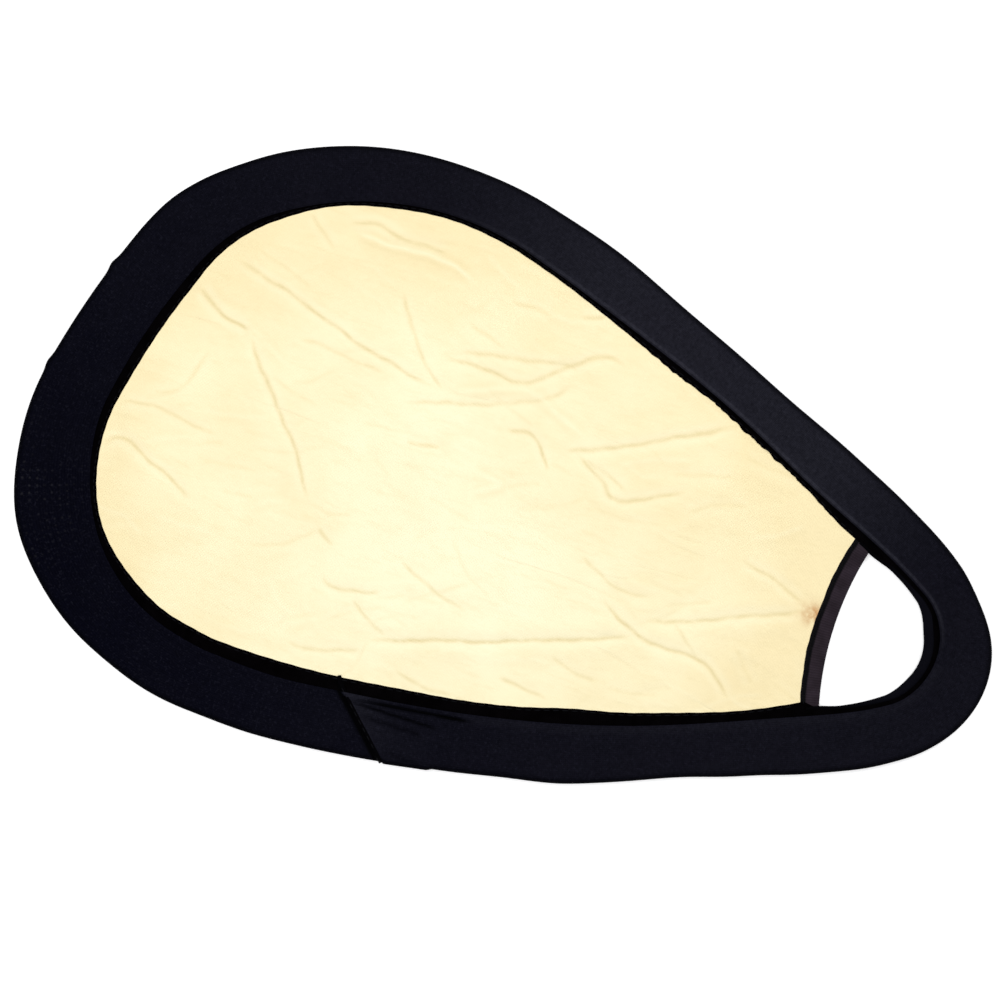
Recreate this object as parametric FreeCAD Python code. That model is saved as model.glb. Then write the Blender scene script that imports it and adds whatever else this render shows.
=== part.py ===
"""Collapsible hand reflector: a teardrop spring-steel hoop inside a wrapped fabric rim, with a gold
face, a white back and a taped opening at the narrow end that a hand goes through.

Millimetres. The reflector lies flat on its white back: +Z is up, +X points at the hand opening, and
the origin is on the resting plane, under the middle of the outline. The hoop and cloth are one
springy piece that folds across the middle, so each piece that crosses the fold line is made as a
wide half (-X) and a handle half (+X).

Sections are drawn with two numbers: inset, the distance in from the outer edge of the rim, and
height, the distance above the middle plane, in which the two faces of cloth meet.
"""
import FreeCAD, Part
import math
import os

Vector = FreeCAD.Vector
UP = Vector(0, 0, 1)

# Outline of the rim: tangent arcs, counter-clockwise from the tip of the handle end, as name, radius
# and turn in degrees. The two long sides have no radius of their own: theirs close the outline.
OUTLINE = (
    ("tip_upper", 74.0, 60.5),
    ("neck_upper", 400.0, 5.5),
    ("side_upper", None, 9.0),
    ("crown", 218.0, 51.0),
    ("shoulder", 136.0, 34.5),
    ("wide_end", 565.0, 10.0),
    ("heel", 143.0, 63.0),
    ("belly", 156.0, 38.0),
    ("side_lower", None, 27.0),
    ("neck_lower", 325.0, 5.0),
    ("tip_lower", 74.0, 56.5),
)
START_HEADING = 90.0  # the outline leaves the tip along +Y

# Rim
RIM_THICKNESS = 7.0
RIM_HALF = RIM_THICKNESS / 2
MIDDLE_Z = RIM_HALF
CLOTH = 0.5  # wall of the stretch cloth that wraps the hoop
MOUTH = 37.0  # inset of the rim's inner edge
FLAT_FROM = 1.6  # the rim is at full height between these two insets
FLAT_TO = 8.0
NECK_INSET = MOUTH - 4.5  # where the rim is thinnest, just outside its rolled lip
NECK_HALF = 1.9
LIP_HALF = 2.4

# Hoop
HOOP_INSET = 2.05
STRIP_THICKNESS = 0.9
STRIP_HEIGHT = 5.0
HOOP_MIDDLE = HOOP_INSET + STRIP_THICKNESS / 2
SLEEVE_WALL = 0.4
SLEEVE_CLEARANCE = 0.05
SLEEVE_ARC = "wide_end"  # the sleeve keeps this stretch of the rim nearly straight
SLEEVE_TURN = 7.0  # degrees of that arc that the sleeve covers
SLEEVE_FROM = 2.6
BUTT_TURN = 0.08  # gap between the strip's two ends, inside the sleeve
RIVET_TURN = 2.2  # each rivet's distance from the butt
RIVET_RADIUS = 0.9
RIVET_HEAD_RADIUS = 1.6
RIVET_HEAD = 0.35

# Faces
PANEL = 0.35  # thickness of one face of cloth
PANEL_INSET = 34.0  # inset of the cloth's hidden edge
EDGING_OUTER = 33.0
EDGING_INNER = 42.0
TAPE = 0.5  # thickness of the edging and of the tape at the opening
LAYERS = PANEL + TAPE  # half of the stack that the mouth grips
SEAT_GAP = 0.05

# Hand opening: the panel ends on an arc about this centre, bound in tape
END_CENTRE = Vector(406.3, 5.0, 0)
END_RADIUS = 200.0
END_TAPE_WIDTH = 10.0
PIPING_INNER = 43.5
PIPING_HALF = 2.4
JOIN_GAP = 0.1

# Stitching
STITCH_LENGTH = 6.0
STITCH_PITCH = 10.0
STITCH_WIDTH = 0.7
STITCH_HEIGHT = 0.25
STITCH_FROM_EDGE = 1.4
END_STITCHES = 4  # each side of the end tape's middle

# Lap where the rim cloth's two ends meet
LAP_MIDDLE = Vector(-49.0, -157.5, 0)
LAP_HEADING = -42.0
LAP_WIDTH = 12.0
LAP_THICKNESS = 0.6
LAP_STITCHES = 4
LAP_STITCH_PITCH = 7.0
TAB_SIZE = (11.0, 5.0, 0.8)
TAB_MIDDLE = Vector(-68.5, -133.0, 0)
TAB_HEADING = -60.0

# Fold
FOLD_GAP = 0.4
REACH = 400.0  # larger than the reflector, for cutting

os.makedirs("parts", exist_ok=True)


def heading_vector(degrees):
    """The unit vector at this heading, counter-clockwise from +X."""
    return Vector(math.cos(math.radians(degrees)), math.sin(math.radians(degrees)), 0)


def arc_step(heading, turn):
    """How far an arc of radius 1 moves along while it turns left from this heading."""
    return heading_vector(heading + turn - 90) - heading_vector(heading - 90)


def closed_outline():
    """The outline's arcs by name, as centre, radius, first angle and turn, about the origin."""
    headings = []
    heading = START_HEADING
    for _, _, turn in OUTLINE:
        headings.append(heading)
        heading += turn
    known = Vector(0, 0, 0)
    free = []
    for (_, radius, turn), heading in zip(OUTLINE, headings):
        if radius is None:
            free.append(arc_step(heading, turn))
        else:
            known += arc_step(heading, turn) * radius
    first, second = free
    determinant = first.x * second.y - first.y * second.x
    solved = [
        (second.x * known.y - second.y * known.x) / determinant,
        (first.y * known.x - first.x * known.y) / determinant,
    ]
    arcs = {}
    point = Vector(0, 0, 0)
    for (name, radius, turn), heading in zip(OUTLINE, headings):
        radius = radius or solved.pop(0)
        centre = point - heading_vector(heading - 90) * radius
        arcs[name] = [centre, radius, heading - 90, turn]
        point = centre + heading_vector(heading + turn - 90) * radius
    middle = outline_middle(arcs)
    for arc in arcs.values():
        arc[0] = arc[0] - middle
    return arcs


def outline_middle(arcs):
    """The middle of the outline's box, from its furthest points along +X, +Y, -X and -Y."""
    reach = []
    for centre, radius, first, turn in arcs.values():
        for quarter in (0, 90, 180, 270, 360):
            if first <= quarter <= first + turn:
                reach.append(centre + heading_vector(quarter) * radius)
    xs = [point.x for point in reach]
    ys = [point.y for point in reach]
    return Vector((min(xs) + max(xs)) / 2, (min(ys) + max(ys)) / 2, 0)


ARCS = closed_outline()


def mirrored(profile):
    """A closed section from its upper half, which is listed from one end to the other."""
    return profile + [(inset, -height) for inset, height in reversed(profile) if height]


def rectangle(inset_from, inset_to, height_from, height_to):
    """A rectangular section."""
    return [
        (inset_from, height_from),
        (inset_to, height_from),
        (inset_to, height_to),
        (inset_from, height_to),
    ]


def section_face(section, centre, radius, angle):
    """The section as a face that stands on the rim at this angle of an arc."""
    outward = heading_vector(angle)
    corners = []
    for inset, height in section:
        corners.append(centre + outward * (radius - inset) + UP * (MIDDLE_Z + height))
    return Part.Face(Part.makePolygon(corners + corners[:1]))


def swept(section, name, start=0.0, turn=None):
    """The section carried along one arc of the outline, or along a part of it."""
    centre, radius, first, whole = ARCS[name]
    face = section_face(section, centre, radius, first + start)
    return face.revolve(centre, UP, whole if turn is None else turn)


def joined(solids):
    """One shape from solids that meet face to face."""
    first, *others = solids
    return first.multiFuse(others).removeSplitter() if others else first


def ring(section, names=tuple(ARCS)):
    """The section carried all the way round the outline, or along the named arcs."""
    return joined([swept(section, name) for name in names])


def inset_plate(inset, height_from, height_to):
    """A flat plate whose edge follows the outline at this inset."""
    edges = []
    for centre, radius, first, turn in ARCS.values():
        points = []
        for share in (0, 0.5, 1):
            out = heading_vector(first + share * turn) * (radius - inset)
            points.append(centre + out + UP * (MIDDLE_Z + height_from))
        edges.append(Part.Arc(*points).toShape())
    return Part.Face(Part.Wire(edges)).extrude(UP * (height_to - height_from))


def end_disc(radius, height_from=-RIM_THICKNESS, height_to=RIM_THICKNESS):
    """A round plate about the centre of the panel's end arc."""
    base = END_CENTRE + UP * (MIDDLE_Z + height_from)
    return Part.makeCylinder(radius, height_to - height_from, base)


def half(shape, side):
    """The part of a shape on one side of the fold line: -1 the wide half, +1 the handle half."""
    low = FOLD_GAP / 2 if side > 0 else -FOLD_GAP / 2 - REACH
    box = Part.makeBox(REACH, 2 * REACH, 2 * REACH, Vector(low, -REACH, -REACH))
    return shape.common(box)


def write(node, shape):
    """One STEP file of one node's solids."""
    solids = shape.Solids
    out = solids[0] if len(solids) == 1 else Part.makeCompound(solids)
    out.exportStep(f"parts/{node}.step")


def write_halves(node, shape):
    """Both halves of a piece that the fold line crosses."""
    write(f"{node}_wide", half(shape, -1))
    write(f"{node}_handle", half(shape, 1))


def rim_binding():
    """Stretch cloth wrapped round the hoop, open at the mouth, with a rolled inner edge."""
    lip = LAYERS + SEAT_GAP
    outside = [
        (MOUTH, lip),
        (MOUTH, LIP_HALF - 0.4),
        (MOUTH - 0.8, LIP_HALF),
        (MOUTH - 3.0, LIP_HALF),
        (NECK_INSET, NECK_HALF),
        (FLAT_TO, RIM_HALF),
        (FLAT_FROM, RIM_HALF),
        (CLOTH, RIM_HALF - CLOTH),
        (0.0, RIM_HALF / 2),
    ]
    inside = [
        (NECK_INSET - 1.0, lip),
        (NECK_INSET, NECK_HALF - CLOTH),
        (FLAT_TO, RIM_HALF - CLOTH),
        (FLAT_FROM - 0.1, RIM_HALF - CLOTH),
        (CLOTH + 0.4, RIM_HALF - 0.7),
        (CLOTH + 0.1, RIM_HALF / 2),
    ]
    return ring(mirrored(outside) + mirrored(inside)[::-1])


def hoop():
    """The flat spring-steel strip on edge, with its butt and the rivet holes."""
    strip = ring(
        rectangle(
            HOOP_INSET, HOOP_INSET + STRIP_THICKNESS, -STRIP_HEIGHT / 2, STRIP_HEIGHT / 2
        )
    )
    tall = rectangle(0.0, FLAT_TO, -RIM_THICKNESS, RIM_THICKNESS)
    butt = swept(tall, SLEEVE_ARC, SLEEVE_FROM + (SLEEVE_TURN - BUTT_TURN) / 2, BUTT_TURN)
    return strip.cut(butt).cut(rivet_shanks(RIVET_RADIUS + SLEEVE_CLEARANCE / 2))


def rivet_places():
    """Where each rivet's axis crosses the middle of the strip, and the way out of the rim there."""
    centre, radius, first, _ = ARCS[SLEEVE_ARC]
    middle = first + SLEEVE_FROM + SLEEVE_TURN / 2
    for angle in (middle - RIVET_TURN, middle + RIVET_TURN):
        outward = heading_vector(angle)
        yield centre + outward * (radius - HOOP_MIDDLE) + UP * MIDDLE_Z, outward


def rivet_shanks(radius):
    """The two rivets' shanks, as long as the sleeve is thick."""
    reach = STRIP_THICKNESS / 2 + SLEEVE_CLEARANCE + SLEEVE_WALL
    shanks = []
    for place, outward in rivet_places():
        shanks.append(Part.makeCylinder(radius, 2 * reach, place - outward * reach, outward))
    return Part.makeCompound(shanks)


def hoop_joint_sleeve():
    """The flat steel sleeve that joins the strip's two ends."""
    gap = SLEEVE_CLEARANCE
    wall = SLEEVE_WALL
    low = HOOP_INSET - gap
    high = HOOP_INSET + STRIP_THICKNESS + gap
    tall = STRIP_HEIGHT / 2 + gap / 2
    outer = rectangle(low - wall, high + wall, -tall - wall, tall + wall)
    inner = rectangle(low, high, -tall, tall)
    tube = swept(outer, SLEEVE_ARC, SLEEVE_FROM, SLEEVE_TURN)
    tube = tube.cut(swept(inner, SLEEVE_ARC, SLEEVE_FROM, SLEEVE_TURN))
    return tube.cut(rivet_shanks(RIVET_RADIUS + SLEEVE_CLEARANCE / 2))


def hoop_joint_rivets():
    """Two flat-headed rivets across the sleeve, one in each end of the strip."""
    reach = STRIP_THICKNESS / 2 + SLEEVE_CLEARANCE + SLEEVE_WALL + SEAT_GAP
    rivets = []
    for place, outward in rivet_places():
        shank = Part.makeCylinder(RIVET_RADIUS, 2 * reach, place - outward * reach, outward)
        heads = []
        for way in (-1, 1):
            face = place + outward * (way * reach)
            heads.append(Part.makeCylinder(RIVET_HEAD_RADIUS, RIVET_HEAD, face, outward * way))
        rivets.append(shank.multiFuse(heads).removeSplitter())
    return Part.makeCompound(rivets)


def face_panel(height_from, height_to):
    """One face of cloth, cut off by the end arc at the hand opening."""
    whole = inset_plate(PANEL_INSET, height_from, height_to)
    return whole.cut(end_disc(END_RADIUS + TAPE))


def edging(height_from, height_to):
    """The narrow tape that covers the cloth's edge inside the mouth."""
    band = ring(rectangle(EDGING_OUTER, EDGING_INNER, height_from, height_to))
    return band.cut(end_disc(END_RADIUS + END_TAPE_WIDTH + JOIN_GAP))


def panel_end_tape():
    """The tape folded over the panel's free end, from one side of the rim to the other."""
    block = inset_plate(EDGING_OUTER, -LAYERS, LAYERS)
    band = block.common(end_disc(END_RADIUS + END_TAPE_WIDTH)).cut(end_disc(END_RADIUS))
    slot = end_disc(END_RADIUS + REACH, -PANEL, PANEL).cut(end_disc(END_RADIUS + TAPE))
    return band.cut(slot)


def opening_piping():
    """The rolled hem that closes the rim round the hand opening."""
    hem = ring(
        mirrored(
            [
                (EDGING_OUTER, LAYERS),
                (MOUTH + JOIN_GAP, LAYERS),
                (MOUTH + JOIN_GAP, PIPING_HALF - 0.4),
                (MOUTH + 1.2, PIPING_HALF),
                (PIPING_INNER - 1.7, PIPING_HALF),
                (PIPING_INNER - 0.3, PIPING_HALF - 0.8),
                (PIPING_INNER, 0.0),
            ]
        )
    )
    return hem.common(end_disc(END_RADIUS - JOIN_GAP))


def stitch(place, heading, height, length=STITCH_LENGTH):
    """One stitch of thread on a surface, as a short flat bar."""
    bar = Part.makeBox(
        length, STITCH_WIDTH, STITCH_HEIGHT, Vector(-length / 2, -STITCH_WIDTH / 2, height)
    )
    bar.rotate(Vector(0, 0, 0), UP, heading)
    bar.translate(place)
    return bar


def edging_stitches(height):
    """The row of stitches near the edging's inner edge, evenly spaced along each arc."""
    inset = EDGING_INNER - STITCH_FROM_EDGE
    row = []
    for centre, radius, first, turn in ARCS.values():
        count = max(1, round(math.radians(turn) * (radius - inset) / STITCH_PITCH))
        for i in range(count):
            angle = first + turn * (i + 0.5) / count
            place = centre + heading_vector(angle) * (radius - inset)
            to_end = (place - END_CENTRE).Length
            clear_of_end = to_end > END_RADIUS + END_TAPE_WIDTH + STITCH_LENGTH
            clear_of_fold = abs(place.x) > STITCH_LENGTH / 2 + FOLD_GAP
            if clear_of_end and clear_of_fold:
                row.append(stitch(place, angle + 90, height))
    return row


def write_edging_stitches(node, height):
    """The stitches of one face, each with the half that it is on."""
    row = edging_stitches(height)
    write(f"{node}_wide", Part.makeCompound([bar for bar in row if bar.BoundBox.XMax < 0]))
    write(f"{node}_handle", Part.makeCompound([bar for bar in row if bar.BoundBox.XMin > 0]))


def panel_end_stitches():
    """Two rows of stitches through the end tape, one on each face."""
    radius = END_RADIUS + END_TAPE_WIDTH - STITCH_FROM_EDGE
    step = math.degrees(STITCH_PITCH / radius)
    rows = []
    for i in range(-END_STITCHES, END_STITCHES + 1):
        angle = 180 + i * step
        place = END_CENTRE + heading_vector(angle) * radius
        for height in (MIDDLE_Z + LAYERS, MIDDLE_Z - LAYERS - STITCH_HEIGHT):
            rows.append(stitch(place, angle + 90, height))
    return Part.makeCompound(rows)


def lap_band():
    """A layer of cloth on the front of the rim, along the arcs where the lap is."""
    lower = [(FLAT_FROM, RIM_HALF), (FLAT_TO, RIM_HALF), (NECK_INSET, NECK_HALF)]
    upper = [(inset, height + LAP_THICKNESS) for inset, height in lower]
    return ring(lower + upper[::-1], ("belly", "side_lower"))


def binding_lap_hem():
    """The folded end of the rim cloth, lying slantwise over its beginning."""
    strip = Part.makeBox(
        REACH, LAP_WIDTH, REACH, Vector(-REACH / 2, -LAP_WIDTH / 2, -REACH / 2)
    )
    strip.rotate(Vector(0, 0, 0), UP, LAP_HEADING)
    strip.translate(LAP_MIDDLE)
    return lap_band().common(strip)


def binding_lap_stitches():
    """The stitches that hold the lap down, along its hem."""
    along = heading_vector(LAP_HEADING)
    across = heading_vector(LAP_HEADING + 90)
    row = []
    for i in range(LAP_STITCHES):
        offset = (i - (LAP_STITCHES - 1) / 2) * LAP_STITCH_PITCH
        place = LAP_MIDDLE + along * offset - across * (LAP_WIDTH / 2 - STITCH_FROM_EDGE)
        row.append(stitch(place, LAP_HEADING, RIM_THICKNESS + LAP_THICKNESS, 4.0))
    return Part.makeCompound(row)


def binding_lap_tab():
    """The small folded tab at the inner end of the lap."""
    length, width, thickness = TAB_SIZE
    tab = Part.makeBox(length, width, thickness, Vector(-length / 2, -width / 2, 0))
    tab.rotate(Vector(0, 0, 0), UP, TAB_HEADING)
    tab.translate(TAB_MIDDLE + UP * (MIDDLE_Z + LAYERS + STITCH_HEIGHT + SEAT_GAP))
    return tab


write_halves("rim_binding", rim_binding())
write_halves("hoop", hoop())
write("hoop_joint_sleeve", hoop_joint_sleeve())
write("hoop_joint_rivets", hoop_joint_rivets())
write_halves("gold_panel", face_panel(0, PANEL))
write_halves("white_panel", face_panel(-PANEL, 0))
write_halves("edging_front", edging(PANEL, LAYERS))
write_halves("edging_back", edging(-LAYERS, -PANEL))
write_edging_stitches("edging_stitches_front", MIDDLE_Z + LAYERS)
write_edging_stitches("edging_stitches_back", MIDDLE_Z - LAYERS - STITCH_HEIGHT)
write("panel_end_tape", panel_end_tape())
write("panel_end_stitches", panel_end_stitches())
write("opening_piping", opening_piping())
write("binding_lap_hem", binding_lap_hem())
write("binding_lap_stitches", binding_lap_stitches())
write("binding_lap_tab", binding_lap_tab())
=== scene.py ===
"""The looks of the collapsible hand reflector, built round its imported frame.

Lengths in this script are millimetres, and piece_from_grid() turns them into metres. A place on the
rim is given by along, the distance round the outline from the tip of the handle end, counter-
clockwise, and by inset, the distance in from the outline. Heights are above the middle plane.
"""

import math

import bpy
import numpy as np
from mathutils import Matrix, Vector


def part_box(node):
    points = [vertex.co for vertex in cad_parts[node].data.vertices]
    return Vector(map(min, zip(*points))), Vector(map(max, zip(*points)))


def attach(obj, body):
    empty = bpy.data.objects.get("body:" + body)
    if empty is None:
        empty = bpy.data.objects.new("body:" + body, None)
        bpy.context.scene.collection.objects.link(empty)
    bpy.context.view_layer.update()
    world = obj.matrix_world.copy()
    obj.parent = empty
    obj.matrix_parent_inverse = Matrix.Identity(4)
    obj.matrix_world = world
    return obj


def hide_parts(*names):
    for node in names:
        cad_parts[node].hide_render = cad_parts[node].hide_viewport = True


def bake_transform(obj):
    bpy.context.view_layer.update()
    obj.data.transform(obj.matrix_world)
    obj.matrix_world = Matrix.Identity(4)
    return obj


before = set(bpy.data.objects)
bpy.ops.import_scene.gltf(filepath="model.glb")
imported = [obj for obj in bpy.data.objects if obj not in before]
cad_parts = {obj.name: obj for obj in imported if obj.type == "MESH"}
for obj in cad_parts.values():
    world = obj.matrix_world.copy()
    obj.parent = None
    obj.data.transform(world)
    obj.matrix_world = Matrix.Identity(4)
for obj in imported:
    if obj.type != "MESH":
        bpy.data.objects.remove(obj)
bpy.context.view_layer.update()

MM = 0.001
SEED = 11

# ---- Outline: the same tangent arcs as the frame's, as radius and turn in degrees ----
OUTLINE = (
    (74.0, 60.5),  # tip, upper side
    (400.0, 5.5),  # neck, upper side
    (None, 9.0),  # upper side
    (218.0, 51.0),  # crown
    (136.0, 34.5),  # shoulder
    (565.0, 10.0),  # wide end, nearly straight
    (143.0, 63.0),  # heel
    (156.0, 38.0),  # belly
    (None, 27.0),  # lower side
    (325.0, 5.0),  # neck, lower side
    (74.0, 56.5),  # tip, lower side
)
START_HEADING = math.pi / 2

rim_low, rim_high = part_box("rim_binding_wide")
MIDDLE_Z = (rim_low.z + rim_high.z) / 2 / MM
RIM_HALF = (rim_high.z - rim_low.z) / 2 / MM
CLOTH = 0.5
PANEL = 0.35  # thickness of one face
TAPE = 0.5
LAYERS = PANEL + TAPE  # height of the tape's top

# The rim's mouth and the panel's visible edge are the outline set in and shifted: the rim is wider
# at the wide end and below. The shift along X dies out towards the handle end.
LIP_INSET = 34.2
LIP_SHIFT = (8.9, 3.3)
LIP_WAVES = (  # where the cloth reaches further in or less far: place, how far, half length
    (180.0, 2.2, 45.0), (300.0, 0.5, 80.0), (730.0, -1.1, 45.0), (862.0, 1.3, 60.0),
    (1030.0, 0.7, 30.0), (1096.0, -1.9, 36.0), (1480.0, -3.5, 55.0),
)
FACE_INSET = 40.2
FACE_SHIFT = (8.9, 5.0)
FACE_WAVES = (  # the same for the edging's inner edge
    (150.0, 2.7, 28.0), (210.0, 1.0, 26.0), (290.0, 0.6, 26.0), (390.0, -1.9, 44.0),
    (475.0, -1.6, 42.0), (556.0, -2.2, 40.0), (893.0, -2.4, 52.0), (1030.0, 1.4, 24.0),
    (1180.0, 0.7, 30.0), (1286.0, 2.0, 26.0), (1400.0, -1.8, 42.0),
)
SHIFT_FADES = (60.0, 240.0)  # X where the shift starts to die out, and where it is gone
TAPE_OVERLAP = 3.0  # how far cloth and tape run on under the piece that covers their edge

# Where the hoop stands off the arcs: place along the rim, distance inwards, half length
RIM_WAVES = (
    (56.0, 4.5, 30.0), (105.0, 1.0, 30.0), (160.0, 0.4, 20.0), (222.0, 1.4, 38.0),
    (300.0, -0.3, 150.0), (366.0, -3.9, 48.0), (426.0, -1.0, 36.0), (520.0, -0.5, 45.0),
    (614.0, 1.0, 20.0), (660.0, -0.5, 14.0), (713.0, -1.3, 4.5), (785.0, -1.1, 4.5),
    (886.0, -2.7, 34.0), (990.0, 1.4, 28.0), (1092.0, -2.8, 38.0), (1130.0, -0.7, 22.0),
    (1160.0, -1.5, 34.0), (1215.0, -0.6, 25.0), (1278.0, -1.5, 24.0), (1340.0, -0.6, 240.0),
    (1358.0, 3.7, 38.0), (1405.0, 1.4, 20.0), (1470.0, -1.3, 24.0), (1548.0, -1.1, 34.0),
)

# Hand opening
END_CENTRE = np.array([406.3, 5.0])
END_RADIUS = 201.1
END_TAPE_WIDTH = 11.2
HEM_TIP_INSET = 42.5  # inset of the opening's edge at the tip, and on its upper and lower side
HEM_UPPER_INSET = 36.4
HEM_LOWER_INSET = 38.6
HEM_REACH = (30.0, 98.0)  # distances from the tip between which the one becomes the other
HEM_CORNER = (104.0, 124.0, 2.0)  # the corner's round: where it starts and ends, and its size
HEM_GROOVE = 2.2
HEM_COVER = 1.2  # how far the hem's roll reaches in over the edging's inner edge

# Lap where the rim cloth's two ends meet
LAP_FROM = np.array([-70.8, -137.8])
LAP_TO = np.array([-27.0, -177.3])

# Creases in the faces: strength, negative for a ridge, and the points of a smooth line
CREASES = (
    (0.9, ((-217, 85), (-171, 74), (-134, 63), (-98, 55), (-71, 52))),
    (1.0, ((-232, 60), (-213, 50), (-193, 45))),
    (0.8, ((-193, 45), (-182, 30), (-153, -1), (-141, -14), (-125, -40))),
    (0.6, ((-113, -54), (-101, -60))),
    (0.9, ((-161, 128), (-140, 134), (-123, 131), (-93, 132))),
    (-0.7, ((-155, 125), (-127, 125), (-92, 127), (-73, 120))),
    (0.6, ((-114, 101), (-91, 70), (-68, 51))),
    (0.9, ((-78, 72), (-40, 73), (-21, 75), (14, 104), (33, 105))),
    (0.7, ((-70, 77), (-10, 91), (7, 91))),
    (0.6, ((-92, 36), (-34, 56), (-9, 68), (6, 83))),
    (0.8, ((-26, 42), (-7, 45), (8, 27))),
    (0.9, ((11, 41), (61, 65), (109, 94))),
    (0.8, ((20, 44), (40, 34), (54, 25), (92, 44))),
    (0.5, ((27, 43), (57, 32))),
    (0.8, ((-254, -50), (-244, -43), (-224, -50), (-193, -63))),
    (0.5, ((-254, -21), (-229, -18), (-191, -22))),
    (0.7, ((-100, -80), (-92, -85), (-63, -78))),
    (0.6, ((-78, -87), (-63, -97), (-50, -102))),
    (0.6, ((-108, -126), (-86, -124), (-62, -115))),
    (1.0, ((-65, -109), (16, -81), (96, -49))),
    (0.9, ((67, -35), (96, -49), (139, -51), (162, -68))),
    (0.5, ((44, -13), (69, -25), (95, -24))),
    (0.7, ((93, -40), (127, -27), (187, 1))),
    (0.6, ((139, 17), (162, 12), (183, 5))),
    (0.6, ((-59, -54), (-41, -63), (-10, -71))),
    (0.6, ((-39, -120), (-21, -123), (0, -122))),
    (0.6, ((23, -102), (44, -103), (56, -105))),
    (0.4, ((48, -78), (67, -84), (81, -84))),
    (0.7, ((-80, 14), (-58, 19))),
    (0.5, ((-164, 52), (-143, 52), (-106, 49))),
    (0.4, ((-238, -11), (-220, -1), (-213, 26))),
    (0.5, ((-48, 118), (-22, 118))),
    (0.4, ((-68, 97), (-44, 89))),
    (0.7, ((-4, 123), (9, 128))),
    (0.4, ((113, -33), (136, -52))),
    (0.4, ((154, -35), (171, -54))),
    (0.5, ((-182, 127), (-161, 110))),
    (-0.5, ((-65, 52), (-25, 69), (3, 62), (23, 53))),
    (-0.5, ((-37, 12), (-17, 10), (-32, -1))),
)


def unit(angle):
    """Unit vectors at these angles, along a new last axis."""
    return np.stack([np.cos(angle), np.sin(angle)], -1)


def smooth(value, low, high):
    """0 below low, 1 above high, and an easy S between."""
    t = np.clip((value - low) / (high - low), 0, 1)
    return t * t * (3 - 2 * t)


def between(value, start, full, fade, end):
    """0 up to start, 1 from full to fade, and 0 again from end, with an easy S each way."""
    return smooth(value, start, full) * (1 - smooth(value, fade, end))


def bump_at(value, place, half_length):
    """A smooth bump of height 1."""
    return np.exp(-(((value - place) / half_length) ** 2))


def closed_outline():
    """The outline's arcs as centre, radius, first normal angle, turn and first place along."""
    headings = START_HEADING + np.radians(np.cumsum([0.0] + [turn for _, turn in OUTLINE]))
    steps = unit(headings[1:] - math.pi / 2) - unit(headings[:-1] - math.pi / 2)
    radii = np.array([radius or 0.0 for radius, _ in OUTLINE])
    free = np.flatnonzero(radii == 0)
    radii[free] = np.linalg.solve(steps[free].T, -(radii @ steps))
    corners = np.vstack([[0.0, 0.0], np.cumsum(radii[:, None] * steps, 0)])
    centres = corners[:-1] - radii[:, None] * unit(headings[:-1] - math.pi / 2)
    turns = np.diff(headings)
    starts = np.concatenate([[0.0], np.cumsum(radii * turns)])
    return centres, radii, headings[:-1] - math.pi / 2, starts


ARC_CENTRES, ARC_RADII, ARC_ANGLES, ARC_STARTS = closed_outline()
PERIMETER = ARC_STARTS[-1]


def arc_index(along):
    """Which of the outline's arcs these places are on."""
    return np.clip(np.searchsorted(ARC_STARTS, along, side="right") - 1, 0, len(ARC_RADII) - 1)


def normal_angle(along):
    """The direction that the outline faces at these places."""
    along = np.mod(along, PERIMETER)
    arc = arc_index(along)
    return ARC_ANGLES[arc] + (along - ARC_STARTS[arc]) / ARC_RADII[arc]


def raw_outline(along):
    """Points of the outline before it is centred on the frame's origin."""
    arc = arc_index(np.mod(along, PERIMETER))
    return ARC_CENTRES[arc] + ARC_RADII[arc][..., None] * unit(normal_angle(along))


OUTLINE_POINTS = raw_outline(np.arange(0, PERIMETER, 0.25))
OUTLINE_MIDDLE = (OUTLINE_POINTS.max(0) + OUTLINE_POINTS.min(0)) / 2


def rim_point(along, inset):
    """X and Y at these places along and insets."""
    along, inset = np.broadcast_arrays(along, inset)
    outline = raw_outline(along) - OUTLINE_MIDDLE
    return outline - inset[..., None] * unit(normal_angle(along))


def shifted_inset(along, inset, shift):
    """An inset that varies round the rim, as if its outline were moved by shift."""
    outline = rim_point(along, 0.0)
    facing = unit(normal_angle(along))
    keep = 1 - smooth(outline[..., 0], *SHIFT_FADES)
    return inset - shift[0] * keep * facing[..., 0] - shift[1] * facing[..., 1]


def wave_sum(along, listed):
    """The sum of these waves: place along the rim, size and half length."""
    total = 0
    for place, size, half_length in listed:
        offset = np.mod(along - place + PERIMETER / 2, PERIMETER) - PERIMETER / 2
        total = total + size * bump_at(offset, 0, half_length)
    return total


def lip_inset(along):
    """Inset of the rim's inner edge."""
    return shifted_inset(along, LIP_INSET, LIP_SHIFT) + wave_sum(along, LIP_WAVES)


def face_inset(along):
    """Inset of the edging's inner edge, where the faces start to show."""
    return shifted_inset(along, FACE_INSET, FACE_SHIFT) + wave_sum(along, FACE_WAVES)


def tip_distance(along):
    """Distance from the tip along the outline, and whether that is on the upper side."""
    along = np.mod(along, PERIMETER)
    return np.minimum(along, PERIMETER - along), along < PERIMETER / 2


def hem_inset(along):
    """Inset of the hand opening's edge."""
    from_tip, on_upper_side = tip_distance(along)
    side_inset = np.where(on_upper_side, HEM_UPPER_INSET, HEM_LOWER_INSET)
    start, end, size = HEM_CORNER
    rounded = size * smooth(from_tip, start, end)
    return HEM_TIP_INSET + (side_inset - HEM_TIP_INSET) * smooth(from_tip, *HEM_REACH) + rounded


def edge_inset(along):
    """How far the hoop, and so the rim's outer edge, stands in from the arcs."""
    return wave_sum(along, RIM_WAVES)


# ---- Meshes ----
def signed_volume(points, faces):
    """The volume inside these quads, negative if they face inwards."""
    a, b, c, d = (points[faces[:, k]] for k in range(4))
    return np.sum(a * np.cross(b, c)) + np.sum(a * np.cross(c, d))


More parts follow.
